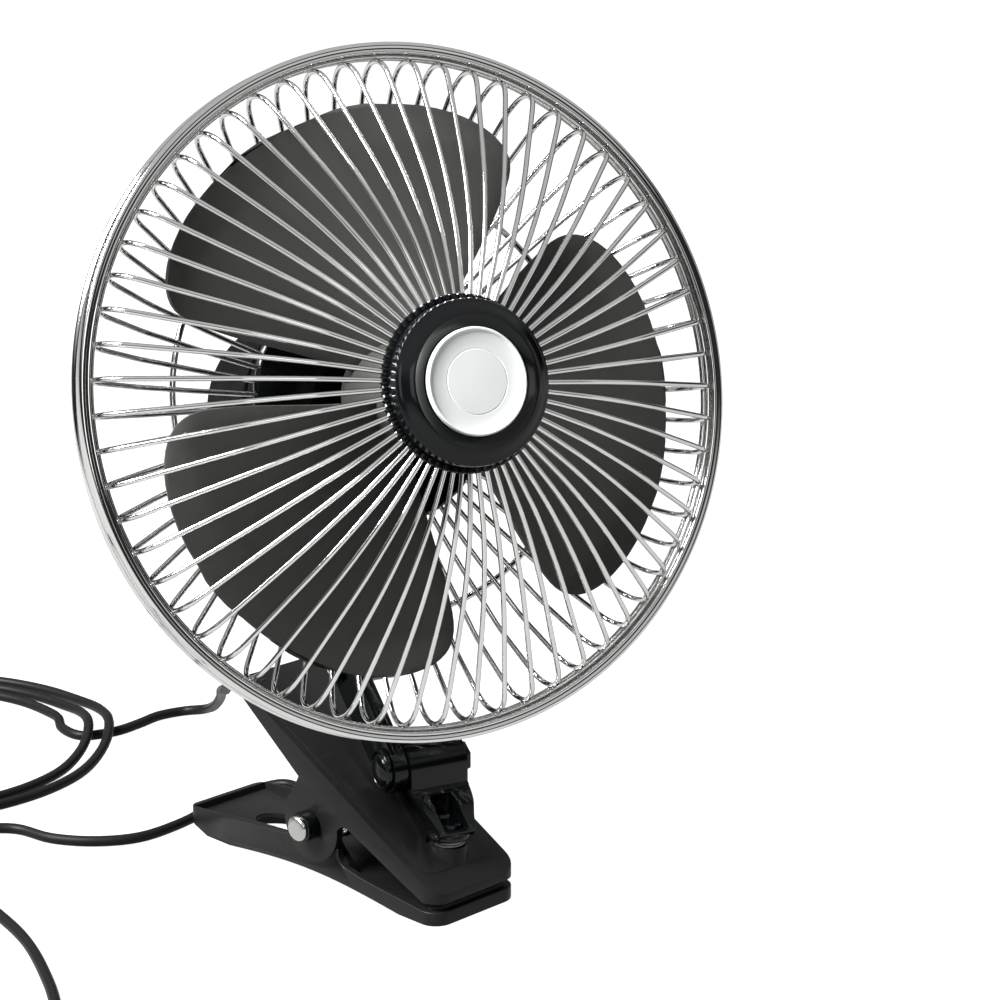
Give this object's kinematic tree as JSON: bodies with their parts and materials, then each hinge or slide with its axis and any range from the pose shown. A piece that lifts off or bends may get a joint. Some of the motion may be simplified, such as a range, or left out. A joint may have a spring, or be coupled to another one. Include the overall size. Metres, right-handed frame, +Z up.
{
  "type": "clip-on desk fan",
  "caption": "Clip-on fan: sprung clip with a hinged swivelling neck, round wire guard, three-blade rotor, rear motor housing and coiled low-voltage cord.",
  "frame": {"origin": "on the ground plane, under the vertical swivel axis, on the underside of the lower jaw", "axes": "+Z up, -Y towards the jaw's tip, +X to the clip's right as seen looking along +Y"},
  "size_m": [0.2933, 0.3414, 0.2573],
  "materials": {
    "clip": "satin",
    "black": "gloss",
    "hub": "gloss",
    "chrome": "polished",
    "steel": "bright zinc",
    "blade": "satin",
    "disc": "satin silver",
    "housing": "satin",
    "rubber": "matte",
    "cord": "satin"
  },
  "bodies": {
    "base": {"lower_jaw": "clip", "lower_pad": "rubber", "torsion_spring": "steel", "pivot_bolt": "steel", "pivot_collar": "black", "pivot_washer": "steel", "pivot_nut": "steel", "cord_lead": "cord", "cord_coil": "cord", "cord_tail": "cord", "plug_body": "black", "plug_barrel": "steel"},
    "clip_arm": {"upper_jaw": "clip", "upper_pad": "rubber", "swivel_washer_lower": "steel", "cord_relief": "rubber"},
    "swivel": {"swivel_washer_upper": "steel", "swivel_stud": "steel", "swivel_nut": "steel", "knuckle": "black", "lower_bolt": "black", "lower_bolt_nut": "steel"},
    "link_arm": {"link": "black"},
    "head": {"upper_bolt": "black", "upper_bolt_nut": "steel", "neck": "black", "rim_band": "chrome", "front_guard": "chrome", "rear_guard": "chrome", "rear_ring": "chrome", "hub_ring": "hub", "badge_disc": "disc", "guard_plate": "black", "guard_screw_1": "steel", "guard_screw_2": "steel", "guard_screw_3": "steel", "motor_can": "steel", "housing_front": "housing", "seam_ring": "black", "housing_rear": "housing", "switch_frame": "black"},
    "rotor": {"impeller": "blade", "spinner": "black", "motor_shaft": "steel"},
    "rocker": {"switch_rocker": "rubber"}
  },
  "joints": [
    {"name": "jaw_open", "type": "hinge", "parent": "base", "child": "clip_arm", "pos_m": [0, 0.0427, 0.019], "axis": [-1, 0, 0], "range_deg": [0, 34], "stiffness_Nm_per_rad": 1.2, "springref_deg": -51.57, "deforming": ["torsion_spring", "cord_lead"]},
    {"name": "pan", "type": "hinge", "parent": "clip_arm", "child": "swivel", "pos_m": [0, 0, 0.0214], "axis": [0, 0, 1], "range_deg": [-70, 108]},
    {"name": "link_lean", "type": "hinge", "parent": "swivel", "child": "link_arm", "pos_m": [0.00582, 0.01672, 0.0395], "axis": [0.9444, -0.3289, 0], "range_deg": [-5, 20]},
    {"name": "head_tilt", "type": "hinge", "parent": "link_arm", "child": "head", "pos_m": [0.01741, 0.04998, 0.06416], "axis": [-0.9444, 0.3289, 0], "range_deg": [-5, 38]},
    {"name": "rotor_spin", "type": "hinge", "parent": "head", "child": "rotor", "pos_m": [0.0079, 0.02268, 0.15524], "axis": [-0.3167, -0.9094, 0.2698], "continuous": true},
    {"name": "switch_press", "type": "hinge", "parent": "head", "child": "rocker", "pos_m": [0.04001, 0.11489, 0.12788], "axis": [0.9444, -0.3289, 0], "range_deg": [-14, 0]}
  ]
}
